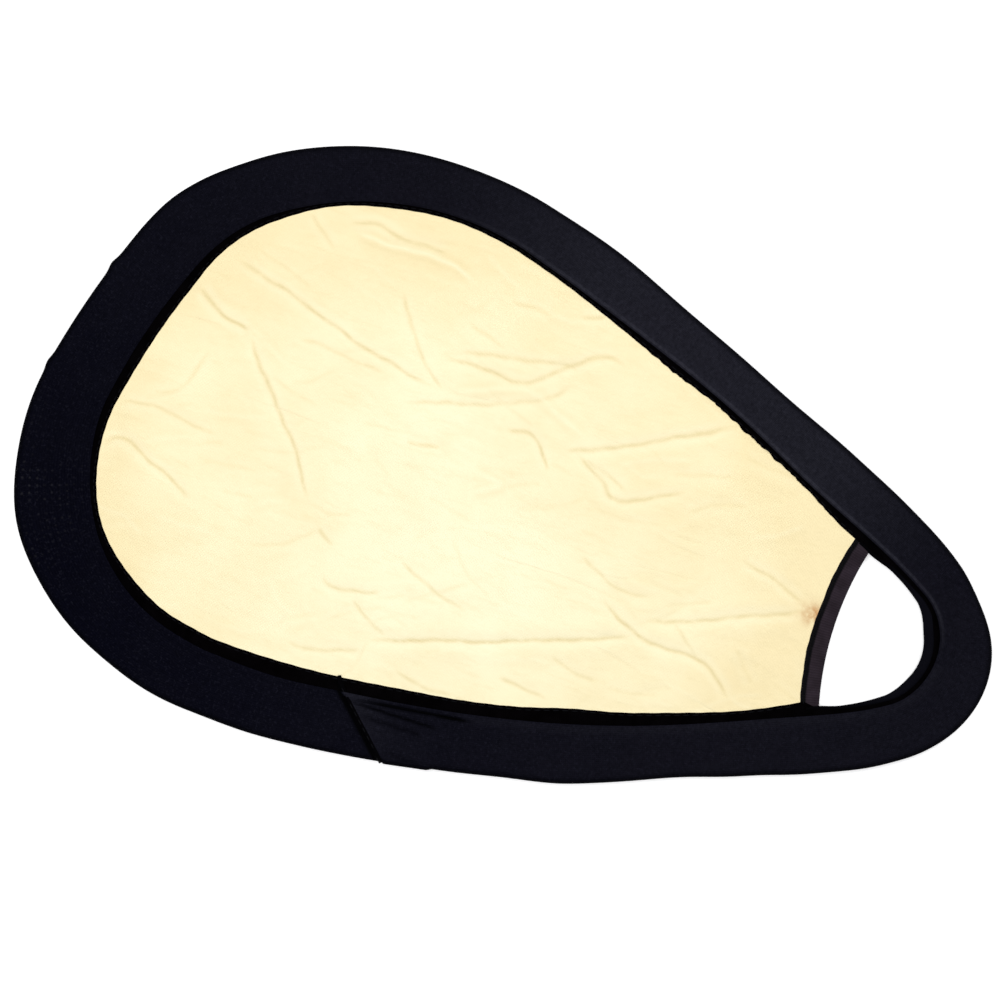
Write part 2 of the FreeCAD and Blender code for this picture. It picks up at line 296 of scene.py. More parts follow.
def end_faces(pairs):
    """Faces that close the loop of points at a tube's end. pairs are the loop's places that lie
    opposite each other, from its first and last place to its middle."""
    faces = [[*range(a, c + 1), *range(d, b + 1)] for (a, b), (c, d) in zip(pairs, pairs[1:])]
    left, right = pairs[-1]
    if right - left > 1:
        faces.append(list(range(left, right + 1)))
    return faces


def grid_corners(rows, places, ring):
    """The rows and the places of the corners of a grid's quads, which go round from its last place
    to its first, and with ring from its last row to its first too."""
    row, place = np.meshgrid(np.arange(rows if ring else rows - 1), np.arange(places), indexing="ij")
    row_corners = np.stack([row, row, row + 1, row + 1], -1).reshape(-1, 4)
    place_corners = np.stack([place, place + 1, place + 1, place], -1).reshape(-1, 4)
    return row_corners, place_corners


def link_object(name, data):
    """A new object in the scene."""
    new_object = bpy.data.objects.new(name, data)
    bpy.context.scene.collection.objects.link(new_object)
    return new_object


def piece_from_grid(name, grid, material, ring=False, uv=None, crisp=40, pairs=None):
    """A piece from a grid of points: rows along it, places round it. It is a ring, or a tube whose
    ends are closed by end_faces. uv are the distances along its rows and round its places."""
    rows, places = grid.shape[:2]
    row_corners, place_corners = grid_corners(rows, places, ring)
    faces = (row_corners % rows) * places + place_corners % places
    points = grid.reshape(-1, 3) * MM
    inwards = signed_volume(points, faces) < 0
    if inwards:
        faces = faces[:, ::-1]
        row_corners = row_corners[:, ::-1]
        place_corners = place_corners[:, ::-1]
    face_list = faces.tolist()
    if not ring:
        far = (rows - 1) * places
        for face in end_faces(pairs or [(k, places - 1 - k) for k in range(places // 2)]):
            first, last = face, [far + corner for corner in face]
            face_list += [first, last[::-1]] if inwards else [first[::-1], last]
    mesh = bpy.data.meshes.new(name)
    mesh.from_pydata(points.tolist(), [], face_list)
    if uv is not None:
        along, across = uv
        coords = np.stack([along[row_corners], across[place_corners]], -1) * MM
        layer = mesh.uv_layers.new(name="cloth")
        filled = np.zeros((len(layer.data), 2))
        filled[: coords.size // 2] = coords.reshape(-1, 2)
        layer.data.foreach_set("uv", filled.ravel())
    mesh.shade_smooth()
    mesh.set_sharp_from_angle(angle=math.radians(crisp))
    mesh.materials.append(material)
    return link_object(name, mesh)


def store_values(piece, **fields):
    """Values at the piece's points, which its material reads by name."""
    for name, values in fields.items():
        attribute = piece.data.attributes.new(name, "FLOAT", "POINT")
        attribute.data.foreach_set("value", values.astype(np.float32).ravel())


def at_height(flat, height):
    """Points from their X and Y and their heights above the middle plane."""
    return np.dstack([flat, MIDDLE_Z + height])


def place_section(along, inset, height):
    """A grid of points from rows of sections."""
    return at_height(rim_point(along[:, None], inset), height)


def section_lengths(inset, height):
    """Distance along a closed section, with the way back to its first point at the end."""
    loop = np.stack([np.append(inset, inset[0]), np.append(height, height[0])], -1)
    return np.concatenate([[0.0], np.cumsum(np.hypot(*np.diff(loop, axis=0).T))])


def bend(piece):
    """Bakes the piece's placement into its points."""
    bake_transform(piece)


# ---- Materials ----
def add_node(tree, kind, inputs=None, **settings):
    """A node with its settings and inputs, each input a value or another node's output."""
    node = tree.nodes.new(kind)
    for name, value in settings.items():
        setattr(node, name, value)
    for key, value in (inputs or {}).items():
        if isinstance(value, bpy.types.NodeSocket):
            tree.links.new(value, node.inputs[key])
        else:
            node.inputs[key].default_value = value
    return node


def calculate(tree, operation, *values, clamp=False):
    """The output of one Math node."""
    inputs = dict(enumerate(values))
    return add_node(tree, "ShaderNodeMath", inputs, operation=operation, use_clamp=clamp).outputs[0]


def noise(tree, where, scale, detail=3.0, roughness=0.5, distortion=0.0):
    """A noise texture's value, with scale in features a metre."""
    inputs = dict(Vector=where, Scale=scale, Detail=detail, Roughness=roughness, Distortion=distortion)
    return add_node(tree, "ShaderNodeTexNoise", inputs).outputs["Fac"]


def mix(tree, factor, first, second):
    """One colour becoming another as factor goes from 0 to 1."""
    inputs = {"Factor": factor, 6: first, 7: second}
    return add_node(tree, "ShaderNodeMix", inputs, data_type="RGBA").outputs[2]


def ramp(tree, value, low, high):
    """value stretched so that low becomes 0 and high 1, clamped."""
    inputs = {"Value": value, "From Min": low, "From Max": high}
    return add_node(tree, "ShaderNodeMapRange", inputs).outputs["Result"]


def start_material(name, roughness, **uniform):
    """A material, its nodes and its shader, with uniform values set on the shader itself."""
    material = bpy.data.materials.new(name)
    material.use_nodes = True
    tree = material.node_tree
    shader = tree.nodes["Principled BSDF"]
    shader.inputs["Roughness"].default_value = roughness
    for socket, value in uniform.items():
        shader.inputs[socket.replace("_", " ").title().replace("Ior", "IOR")].default_value = value
    return material, tree, shader


def multiply(tree, first, second):
    """The product of two values."""
    return calculate(tree, "MULTIPLY", first, second)


def multiply_add(tree, value, factor, extra):
    """value times factor, plus extra."""
    return calculate(tree, "MULTIPLY_ADD", value, factor, extra)


def add_bump(tree, shader, height, distance):
    """Relief of this depth in metres."""
    bump = add_node(tree, "ShaderNodeBump", {"Height": height, "Distance": distance})
    tree.links.new(bump.outputs["Normal"], shader.inputs["Normal"])


def paint(tree, shader, colour):
    """The shader takes this colour."""
    tree.links.new(colour, shader.inputs["Base Color"])


def stored(tree, name):
    """The values that store_values() left at the piece's points."""
    return add_node(tree, "ShaderNodeAttribute", attribute_name=name).outputs["Fac"]


def x_and_y(tree, vector):
    """A vector's first two numbers."""
    parts = add_node(tree, "ShaderNodeSeparateXYZ", {0: vector})
    return parts.outputs["X"], parts.outputs["Y"]


def cloth_axes(tree):
    """The distances along and across a piece, in metres, from its UV map."""
    return x_and_y(tree, add_node(tree, "ShaderNodeUVMap", uv_map="cloth").outputs["UV"])


def waves(tree, value, pitch):
    """A sine from 0 to 1 with this pitch in metres."""
    angle = multiply(tree, value, 2 * math.pi / pitch)
    return multiply_add(tree, calculate(tree, "SINE", angle), 0.5, 0.5)


def object_place(tree):
    """The place in the object's own axes, in metres."""
    return add_node(tree, "ShaderNodeTexCoord").outputs["Object"]


# painted shade in the knit's grooves and along its outer edge goes towards this black
BLACK = (0.0, 0.0, 0.0, 1)
KNIT_COLOUR = (0.0004, 0.0005, 0.0042, 1)
# the knit's colour where random mottle and a painted sheen towards the upper right lighten it
MOTTLE_AND_SHEEN_COLOUR = (0.0068, 0.0066, 0.0112, 1)
# colour of the painted sheen on the upper side and of the painted highlights on the lips and the lap
PAINTED_SHEEN_COLOUR = (0.031, 0.031, 0.043, 1)
# painted glints on the rows of slack stitches
DOT_GLINT_COLOUR = (0.030, 0.029, 0.035, 1)
GRAIN_COLOUR = (0.0, 0.0, 0.0006, 1)
SPECK_COLOUR = (0.012, 0.012, 0.021, 1)
# specks under the painted sheen
PALE_SPECK_COLOUR = (0.034, 0.034, 0.044, 1)
KNIT_PITCH = 0.0012
DOT_PITCH = 0.005
DOT_ROW = 0.0032


def rim_cloth_material():
    """Navy black stretch knit: fine ribs, rows of slack stitches, a soft sheen, and painted light and
    shade.
    """
    material, tree, shader = start_material(
        "rim_knit", 0.58, specular_ior_level=0.012, sheen_weight=0.003, sheen_roughness=0.4
    )
    shader.inputs["Sheen Tint"].default_value = (0.62, 0.66, 1.0, 1)
    along, across = cloth_axes(tree)
    place = object_place(tree)
    knit = multiply(tree, waves(tree, across, KNIT_PITCH), waves(tree, along, KNIT_PITCH))
    drifted = multiply_add(tree, noise(tree, place, 60), 0.003, along)
    # rows of slack stitches, which get painted glints at the lower left
    dots = multiply(tree, waves(tree, drifted, DOT_PITCH), waves(tree, across, DOT_ROW))
    slack = ramp(tree, noise(tree, place, 7, detail=2), 0.47, 0.62)
    broken = ramp(tree, noise(tree, place, 260, detail=2), 0.42, 0.6)
    dots = multiply(tree, ramp(tree, dots, 0.55, 0.95), multiply(tree, slack, broken))
    fuzz = noise(tree, place, 900, detail=4)
    mottle = noise(tree, place, 45, detail=4)
    # painted sheen: the knit is painted lighter towards the upper right, along X plus Y, with random
    # mottle
    diagonal = calculate(tree, "ADD", *x_and_y(tree, place))
    painted_light_tone = multiply_add(tree, mottle, 0.4, ramp(tree, diagonal, -0.42, 0.05))
    painted_light_tone = calculate(tree, "MULTIPLY", painted_light_tone, 0.8, clamp=True)
    # stored fields: painted shade in the grooves and along the outer edge, painted sheen and
    # highlights
    dark, pale = stored(tree, "dark"), stored(tree, "pale")
    base = mix(tree, painted_light_tone, KNIT_COLOUR, MOTTLE_AND_SHEEN_COLOUR)
    # painted sheen and painted highlights
    base = mix(tree, pale, base, PAINTED_SHEEN_COLOUR)
    # painted shade: the grooves and the outer edge go black
    base = mix(tree, dark, base, BLACK)
    # painted glints on the stitch rows, mostly at the lower left
    low_left = multiply_add(tree, ramp(tree, diagonal, -0.2, -0.34), 0.5, 0.06)
    painted_light_marks = mix(tree, multiply(tree, dots, low_left), base, DOT_GLINT_COLOUR)
    grain = ramp(tree, noise(tree, place, 420, detail=4, roughness=0.7), 0.3, 0.7)
    shaded = mix(tree, multiply(tree, grain, 0.5), painted_light_marks, GRAIN_COLOUR)
    # fine specks, paler under the painted sheen and fewer in the painted shade
    speck = ramp(tree, noise(tree, place, 700, detail=3), 0.55, 0.75)
    speck = multiply(tree, speck, multiply_add(tree, dark, -0.5, 0.5))
    paint(tree, shader, mix(tree, speck, shaded, mix(tree, pale, SPECK_COLOUR, PALE_SPECK_COLOUR)))
    relief = multiply_add(tree, dots, 0.6, knit)
    relief = multiply_add(tree, fuzz, 0.5, relief)
    relief = multiply_add(tree, mottle, 1.2, relief)
    add_bump(tree, shader, relief, 0.00022)
    return material


HEM_COLOUR = (0.0006, 0.0005, 0.001, 1)
# painted highlight on the hem's swollen roll
HEM_HIGHLIGHT_COLOUR = (0.0036, 0.0036, 0.0062, 1)


def hem_cloth_material():
    """The opening's hem: smooth black binding with a painted highlight, greyer, where its roll swells
    round the tip.
    """
    material, tree, shader = start_material(
        "hem_cloth", 0.6, specular_ior_level=0.01, sheen_weight=0.002
    )
    along, _ = cloth_axes(tree)
    patches = noise(tree, object_place(tree), 90, detail=4)
    # painted highlight where the roll swells, broken up by random patches
    shade = multiply(tree, stored(tree, "full"), multiply_add(tree, patches, 0.6, 0.5))
    paint(tree, shader, mix(tree, shade, HEM_COLOUR, HEM_HIGHLIGHT_COLOUR))
    relief = multiply_add(tree, patches, 2.0, waves(tree, along, 0.0014))
    add_bump(tree, shader, relief, 0.00015)
    return material


# painted shade along the end tape's edge by the faces
TAPE_EDGE_SHADE_COLOUR = (0.0012, 0.001, 0.0014, 1)


def tape_material(name, dark, light, rib_pitch, sheen, gloss, shaded_edge=0.0):
    """Woven tape with ribs across it, and a band of painted shade of this width in metres along its
    edge.
    """
    material, tree, shader = start_material(
        name, 0.7, specular_ior_level=gloss, sheen_weight=sheen, sheen_roughness=0.5
    )
    along, across = cloth_axes(tree)
    place = object_place(tree)
    ribs = waves(tree, along, rib_pitch)
    weave = multiply_add(tree, waves(tree, across, rib_pitch * 0.6), 0.4, ribs)
    patches = noise(tree, place, 120, detail=4)
    shade = multiply_add(tree, ribs, 0.25, ramp(tree, patches, 0.3, 0.75))
    colour = mix(tree, shade, dark, light)
    if shaded_edge:
        # painted shade along the tape's edge
        tape_edge_shade = ramp(tree, across, shaded_edge * 1.15, shaded_edge * 0.85)
        colour = mix(tree, tape_edge_shade, colour, TAPE_EDGE_SHADE_COLOUR)
    paint(tree, shader, colour)
    fibres = noise(tree, place, 1400, detail=3)
    add_bump(tree, shader, multiply_add(tree, fibres, 0.5, weave), 0.00016)
    return material


PAINTED_LIGHT_MIDDLE = (-0.048, -0.05, 0.0)  # the middle of the painted pool of light on the faces, which are palest here
WEAVE_PITCH = 0.0009


def face_material(name, colours, metallic, roughness):
    """Coated face cloth: plain weave, soft blotches, painted light, and painted shade in its creases.
    colours are the cloth's deeper and lighter tone, its creases' painted shade and its stained spot's."""
    deep, light, crease, spot = colours
    material, tree, shader = start_material(
        name, roughness, metallic=metallic, specular_ior_level=0.35
    )
    place = object_place(tree)
    x, y = x_and_y(tree, place)
    weave = multiply(tree, waves(tree, x, WEAVE_PITCH), waves(tree, y, WEAVE_PITCH))
    # painted pool of light: the faces are painted paler nearer its middle, with random blotches on top
    middle = add_node(tree, "ShaderNodeVectorMath", {0: place, 1: PAINTED_LIGHT_MIDDLE}, operation="DISTANCE")
    painted_light_tone = multiply(tree, middle.outputs["Value"], -4.5)
    blotches = ramp(tree, noise(tree, place, 11, detail=5, roughness=0.6), 0.3, 0.7)
    tone = multiply_add(tree, blotches, 0.5, calculate(tree, "ADD", painted_light_tone, 0.85))
    base = mix(tree, ramp(tree, tone, 0.1, 0.95), deep, light)
    turning = {"Vector": place, "Rotation": (0, 0, math.radians(8)), "Scale": (0.35, 1.4, 1.0)}
    turned = add_node(tree, "ShaderNodeMapping", turning).outputs["Vector"]
    fold = noise(tree, turned, 30, detail=2, roughness=0.4, distortion=0.6)
    off_middle = calculate(tree, "ABSOLUTE", calculate(tree, "SUBTRACT", fold, 0.5))
    fine = calculate(tree, "SUBTRACT", 1.0, ramp(tree, off_middle, 0.0, 0.05))
    fine = multiply(tree, fine, ramp(tree, noise(tree, place, 16, detail=2), 0.48, 0.62))
    broken = ramp(tree, noise(tree, place, 130, detail=3), 0.2, 0.6)
    main = multiply(tree, stored(tree, "crease"), multiply_add(tree, broken, 0.7, 0.3))
    streaks = noise(tree, turned, 110, detail=4, roughness=0.7)
    streaks = multiply(tree, ramp(tree, streaks, 0.5, 0.72), 0.2)
    # painted shade along the creases, the fine creases and the streaks
    painted_light_marks = calculate(tree, "MAXIMUM", multiply(tree, fine, 0.14), main)
    painted_light_marks = calculate(tree, "MAXIMUM", painted_light_marks, streaks)
    creased = mix(tree, painted_light_marks, base, crease)
    # painted highlight beside the creases and on the ridges
    lit = mix(tree, multiply(tree, stored(tree, "ridge"), 0.9), creased, light)
    stain = multiply(tree, stored(tree, "spot"), ramp(tree, noise(tree, place, 160), 0.3, 0.55))
    paint(tree, shader, mix(tree, stain, lit, spot))
    gloss = multiply_add(tree, blotches, -0.1, roughness + 0.08)
    tree.links.new(gloss, shader.inputs["Roughness"])
    relief = multiply_add(tree, fine, -1.2, weave)
    relief = multiply_add(tree, fold, 4.0, relief)
    add_bump(tree, shader, relief, 0.0001)
    return material


def thread_material():
    """Black sewing thread with its twist."""
    material, tree, shader = start_material("thread", 0.75, specular_ior_level=0.04)
    twist = noise(tree, object_place(tree), 2500, detail=2)
    paint(tree, shader, mix(tree, twist, (0.001, 0.001, 0.0015, 1), (0.005, 0.005, 0.007, 1)))
    add_bump(tree, shader, twist, 0.0001)
    return material


def steel_material(name, colour, roughness, grain):
    """Rolled or plated steel with a fine grain."""
    material, tree, shader = start_material(name, roughness, metallic=1.0)
    streaks = noise(tree, object_place(tree), grain, detail=4)
    dull = tuple(0.72 * channel for channel in colour[:3]) + (1,)
    paint(tree, shader, mix(tree, streaks, dull, colour))
    polish = multiply_add(tree, streaks, 0.2, roughness - 0.08)
    tree.links.new(polish, shader.inputs["Roughness"])
    add_bump(tree, shader, streaks, 0.00003)
    return material


# each face's deeper and lighter tone, the painted shade of its creases, and its stain
GOLD_COLOURS = (
    (0.88, 0.755, 0.455, 1),
    (0.93, 0.865, 0.605, 1),
    (0.72, 0.60, 0.31, 1),
    (0.52, 0.24, 0.07, 1),
)
WHITE_COLOURS = (
    (0.76, 0.76, 0.75, 1),
    (0.84, 0.84, 0.84, 1),
    (0.58, 0.58, 0.57, 1),
    (0.6, 0.57, 0.5, 1),
)
rim_knit = rim_cloth_material()
hem_cloth = hem_cloth_material()
edging_tape = tape_material(
    "edging_tape", (0.0004, 0.0002, 0.0003, 1), (0.0014, 0.001, 0.0014, 1), 0.0012, 0.0, 0.004
)
# the last number is the width of the painted shade along the end tape's edge
end_tape = tape_material(
    "end_tape", (0.0125, 0.0082, 0.0115, 1), (0.025, 0.0175, 0.0245, 1), 0.0015, 0.02, 0.06, 0.0034
)
gold_cloth = face_material("gold_cloth", GOLD_COLOURS, 0.2, 0.5)
white_cloth = face_material("white_cloth", WHITE_COLOURS, 0.0, 0.6)
thread = thread_material()
spring_steel = steel_material("spring_steel", (0.30, 0.31, 0.34, 1), 0.34, 700)
plated_steel = steel_material("plated_steel", (0.62, 0.62, 0.64, 1), 0.3, 1200)


# ---- Rim cloth ----
RIM_STEP = 1.65
SKIN_COUNTS = (9, 26, 9)  # points on the lip's roll, on the span and on the round outer edge
LINING_COUNTS = (3, 10, 6)
LIP_ROLL = 2.3  # half width of the rolled lip
NECK_HALF = 1.9
LIP_HALF = 2.4
SEAT = LAYERS + 0.05
NECK_END = 3.5  # distance in from the lip where the cloth starts to rise to the hoop
SLOPE_REACH = 1.35  # the rise would end this many widths of the span from the lip
HOOP_ROUND = 4.0  # the outer edge rounds over the hoop within this inset
EDGE_CURVE = 2.6  # power of the outer edge's round, where 2 would be an ellipse


def edge_curve(count, half_height, depth):
    """The round of the outer edge as offsets in from it and heights, from its flat to its middle."""
    turn = np.linspace(math.pi / 2, 0, count)
    offset = depth * (1 - np.cos(turn) ** (2 / EDGE_CURVE))
    return offset, half_height * np.sin(turn) ** (2 / EDGE_CURVE)


def upper_skin(along, skin, counts):
    """Insets and heights of the rim's upper skin, from the lip to the middle of the outer edge.
    skin is how far it lies inside the outer surface."""
    edge, lip = cloth_edge(along)[:, None], lip_inset(along)[:, None]
    roll_count, span_count, edge_count = counts
    if skin:
        roll_offset = np.linspace(-LIP_ROLL - 0.5, -LIP_ROLL - 1.2, roll_count)
        roll_height = np.linspace(SEAT, NECK_HALF - skin, roll_count)
    else:
        turn = np.linspace(-math.pi / 2, math.pi / 2, roll_count)
        roll_middle = (SEAT + LIP_HALF) / 2
        roll_offset = LIP_ROLL * (np.cos(turn) - 1)
        roll_height = roll_middle + (LIP_HALF - roll_middle) * np.sin(turn)
    edge_offset, edge_height = edge_curve(edge_count, RIM_HALF - skin, HOOP_ROUND - skin)
    span_from = lip + roll_offset[-1]
    span_to = edge + skin + edge_offset[0]
    span = span_from + (span_to - span_from) * np.linspace(0, 1, span_count + 2)[1:-1]
    from_lip, width = lip - span, lip - span_to
    reach = SLOPE_REACH * width
    rise = smooth(from_lip, NECK_END, reach) / smooth(width, NECK_END, reach)
    crest = (LIP_HALF - NECK_HALF) * (1 - smooth(from_lip, LIP_ROLL, LIP_ROLL + 2.6))
    span_height = NECK_HALF + (RIM_HALF - NECK_HALF) * rise + crest - skin
    inset = np.hstack([lip + roll_offset, span, edge + skin + edge_offset])
    ends = [np.tile(end_height, (len(along), 1)) for end_height in (roll_height, edge_height)]
    return inset, np.hstack([ends[0], span_height, ends[1]])


def segment_distance(x, y, start, end):
    """Distance from a segment, signed to its left, and the share along it."""
    start, end = np.asarray(start, float), np.asarray(end, float)
    length = np.hypot(*(end - start))
    direction = (end - start) / length
    along = (x - start[0]) * direction[0] + (y - start[1]) * direction[1]
    side = (y - start[1]) * direction[0] - (x - start[0]) * direction[1]
    beyond = np.maximum(np.maximum(-along, along - length), 0)
    return np.hypot(side, beyond) * np.where(side < 0, -1, 1), along / length


# Grooves in the rim cloth that run from the lap, and a ridge at the top: from, to, depth, half width
WRINKLES = (
    ((-58.0, -145.0), (16.0, -133.6), 0.8, 1.7),
    ((-62.0, -147.0), (-2.0, -144.6), 0.6, 1.5),
    ((-54.0, -153.0), (-8.0, -151.5), 0.3, 2.2),
    ((-30.0, -168.0), (-2.0, -170.0), 0.25, 2.4),
    ((-84.0, -142.0), (-118.0, -131.0), 0.3, 2.6),
    ((-144.0, 170.0), (-127.0, 152.0), -0.28, 1.3),
)
LAP_ZONE = (1075.0, 1205.0)  # the part of the rim round the lap
LAP_STEP = 0.75
LAP_FADES = 46.0
LAP_GROOVE = 0.55
LAP_SWELL = 1.1  # how far the edge stands out where the lap runs over it
LAP_SWELLS = (1171.0, 1173.0, 1199.0, 1203.0)  # along the rim, as between() takes it
EDGE_SHADE = (0.75, 0.5, 4.5)  # how dark the outer edge is, and the insets between which that fades
UPPER_SHEEN = 0.36  # how much painted sheen lightens the cloth on the straight upper side, with the places along the rim
UPPER_SHEEN_PLACES = (80, 200, 330, 500)
LIT_LIP = 0.7  # painted highlight: the same for the lip there, and for the lip of the lower side
LIT_LIP_PLACES = (0, 70, 330, 500)
LOW_LIP = 0.12
LOW_LIP_PLACES = (1150, 1250)
BACK_OFFSET = 450.0  # the back's waves are the front's from this far along


def cloth_waves(along, inset, from_lip):
    """The rim cloth's slow swells, its ripples and the fine puckers along its lip."""
    swell = 0.22 * np.sin(along / 31.0 + 1.1) + 0.16 * np.sin(along / 17.3)
    ripple = 0.09 * np.sin(along / 9.1 + inset / 6.0) + 0.05 * np.sin(along / 4.7 - inset / 3.0)
    pucker = 0.11 * np.sin(along / 2.4 + np.sin(along / 13.0) * 2)
    return (swell + ripple) * smooth(inset, 3.0, 12.0) + pucker * (1 - smooth(from_lip, 2.0, 9.0))


def wrinkle_fields(x, y):
    """Height of the wrinkles with the cloth pushed up beside them, and how much painted shade darkens
    them.
    """
    height = np.zeros_like(x)
    dark = np.zeros_like(x)
    for start, end, depth, half_width in WRINKLES:
        distance, share = segment_distance(x, y, start, end)
        size = depth * between(share, -0.05, 0.35, 0.9, 1.03)
        height -= size * bump_at(distance, 0, half_width)
        height += 0.4 * size * bump_at(distance, 2.4 * half_width, 1.4 * half_width)
        # painted shade in the wrinkle's groove
        dark = np.maximum(dark, 1.5 * size * bump_at(distance, 0, 0.7 * half_width))
    return height, dark


def painted_sheen_share(along, from_lip):
    """How much painted sheen lightens the cloth on the straight upper side, and painted highlight its
    lip and the lower side's lip.
    """
    straight = UPPER_SHEEN * between(along, *UPPER_SHEEN_PLACES)
    upper_lip = LIT_LIP * between(along, *LIT_LIP_PLACES) * bump_at(from_lip, LIP_ROLL * 0.8, 0.8)
    low_lip = LOW_LIP * smooth(along, *LOW_LIP_PLACES) * bump_at(from_lip, 3.0, 2.5)
    return straight + upper_lip + low_lip


def rim_relief(along, inset, x, y):
    """How far the rim's cloth stands above its plain section, how much painted shade darkens its
    grooves and outer edge, and how much painted sheen and painted highlight lighten it."""
    from_lip = lip_inset(along) - inset
    wrinkles, dark = wrinkle_fields(x, y)
    side, share = segment_distance(x, y, LAP_FROM, LAP_TO)
    near = between(share, -0.6, -0.1, 1.1, 1.7)
    step = near * between(side, 0, 1.2, 4, LAP_FADES)
    triangle = near * between(side, 0, 1.2, 3, 26) * (1 - smooth(share, 0.1, 1))
    groove = near * bump_at(side, -1.0, 1.6)
    height = cloth_waves(along, inset, from_lip) + wrinkles + LAP_STEP * step - LAP_GROOVE * groove
    darkest, fades_from, fades_to = EDGE_SHADE
    edge_shade = darkest * (1 - smooth(inset - cloth_edge(along), fades_from, fades_to))
    # painted shade in the wrinkles, the lap's groove and along the outer edge
    dark = np.clip(np.maximum(np.maximum(dark, edge_shade), groove), 0, 1)
    # painted sheen on the upper side, painted highlights on the lips and on the lap's raised side
    pale = painted_sheen_share(along, from_lip) + 0.08 * step + 0.25 * triangle
    return height, dark, np.clip(pale, 0, 1) * (1 - dark)


def rim_stations():
    """Places along the rim for rows of its section, closer together at the lap."""
    plain = np.arange(0, PERIMETER, RIM_STEP)
    lap_start, lap_end = LAP_ZONE
    extra = plain[(plain > lap_start) & (plain < lap_end)] + RIM_STEP / 2
    return np.sort(np.append(plain, extra))


def cloth_edge(along):
    """Inset of the rim cloth's outer edge, which the lap makes stand out a little."""
    return edge_inset(along) - LAP_SWELL * between(along, *LAP_SWELLS)


def rim_skin(along, skin, counts):
    """A whole skin of the rim, from its front lip to its back lip: insets, heights, and how much
    painted shade darkens and painted sheen lightens each place."""
    inset, height = upper_skin(along, skin, counts)
    x, y = np.moveaxis(rim_point(along[:, None], inset), -1, 0)
    relief, dark, pale = rim_relief(along[:, None], inset, x, y)
    back_relief = rim_relief(along[:, None] + BACK_OFFSET, inset, x + 2 * BACK_OFFSET, y)[0]
    clear = smooth(height, 0.2, 1.5)
    lowest = np.minimum(height, SEAT + 0.5 - skin)
    front = np.clip(height + relief * clear, lowest, RIM_HALF + LAP_STEP)
    back = np.clip(height + back_relief * clear, lowest, RIM_HALF - skin)[:, -2::-1]
    nothing = np.zeros_like(back)
    return (
        np.hstack([inset, inset[:, -2::-1]]),
        np.hstack([front, -back]),
        np.hstack([dark, nothing]),
        np.hstack([pale, nothing]),
    )


def make_rim_cloth():
    """The one strip of stretch cloth that wraps the hoop, from the front mouth to the back."""
    along = rim_stations()
    outer = rim_skin(along, 0.0, SKIN_COUNTS)
    inner = rim_skin(along, CLOTH, LINING_COUNTS)
    inset, height, dark, pale = (np.hstack([a, b[:, ::-1]]) for a, b in zip(outer, inner))
    piece = piece_from_grid(
        "rim_cloth",
        place_section(along, inset, height),
        rim_knit,
        ring=True,
        uv=(np.append(along, PERIMETER), section_lengths(inset[0], height[0])),
        crisp=80,
    )
    # painted shade in the first field, painted sheen and highlights in the second, for the knit's
    # material
    store_values(piece, dark=dark, pale=pale)
    bend(piece)
    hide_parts("rim_binding_wide", "rim_binding_handle")
    return piece


# ---- Hoop ----
HOOP_INSET = 2.05
STRIP_THICKNESS = 0.9
STRIP_HALF = 2.5
STRIP_CORNER = 0.2


def rounded_bar(inset_from, inset_to, height_from, height_to, corner, count=3):
    """The section of a bar with rounded corners."""
    middles = (
        (inset_to - corner, height_to - corner, 0),
        (inset_from + corner, height_to - corner, 90),
        (inset_from + corner, height_from + corner, 180),
        (inset_to - corner, height_from + corner, 270),
    )
    inset, height = [], []
    for middle_inset, middle_height, start in middles:
        for angle in np.radians(np.linspace(start, start + 90, count)):
            inset.append(middle_inset + corner * math.cos(angle))
            height.append(middle_height + corner * math.sin(angle))
    return np.array(inset), np.array(height)


def make_hoop():
    """The spring steel strip inside the rim."""
    along = np.arange(0, PERIMETER, 3.0)
    inset, height = rounded_bar(
        HOOP_INSET, HOOP_INSET + STRIP_THICKNESS, -STRIP_HALF, STRIP_HALF, STRIP_CORNER
    )
    inset = edge_inset(along)[:, None] + inset
    grid = place_section(along, inset, np.tile(height, (len(along), 1)))
    piece = piece_from_grid("hoop_strip", grid, spring_steel, ring=True)
    bend(piece)
    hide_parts("hoop_wide", "hoop_handle")


# ---- Faces ----
FACE_STEP = 1.35
HIDDEN_SHARE = 3  # the hidden skins have this many times fewer points across the panel
FACE_EDGE_SLACK = 14.0
RANDOM_CREASES = 170
CREASE_HALF_WIDTH = 1.25
CREASE_REACH = 18.0
EDGE_MARGIN = 0.6
END_PULL = 60.0  # length over which the panel's columns take up the shape of its end
SPOT = np.array([191.0, 0.4])


def smooth_line(points):
    """A smooth line through these points, as closer points."""
    points = np.array(points, float)
    before = np.vstack([2 * points[0] - points[1], points[:-2]])
    after = np.vstack([points[2:], 2 * points[-1] - points[-2]])
    t = np.linspace(0, 1, 6)[1:, None]
    line = [points[:1]]
    for p0, p1, p2, p3 in zip(before, points[:-1], points[1:], after):
        square, cube = 2 * p0 - 5 * p1 + 4 * p2 - p3, 3 * p1 - p0 - 3 * p2 + p3
        line.append(p1 + 0.5 * ((p2 - p0) * t + square * t**2 + cube * t**3))
    return np.vstack(line)


def random_creases(generator):
    """Fine creases all over the faces, mostly along the reflector, as strength and points."""
    creases = []
    for _ in range(RANDOM_CREASES):
        middle = generator.uniform((-250, -140), (210, 150))
        heading = math.radians(generator.choice([-14, 20]) + generator.normal(0, 16))
        half = generator.uniform(5, 26)
        offset = half * np.array([math.cos(heading), math.sin(heading)])
        bow = generator.normal(0, 0.12) * np.array([-offset[1], offset[0]])
        strength = generator.uniform(0.08, 0.3) * generator.choice([-1, 1, 1])
        creases.append((strength, (middle - offset, middle + bow, middle + offset)))
    return creases


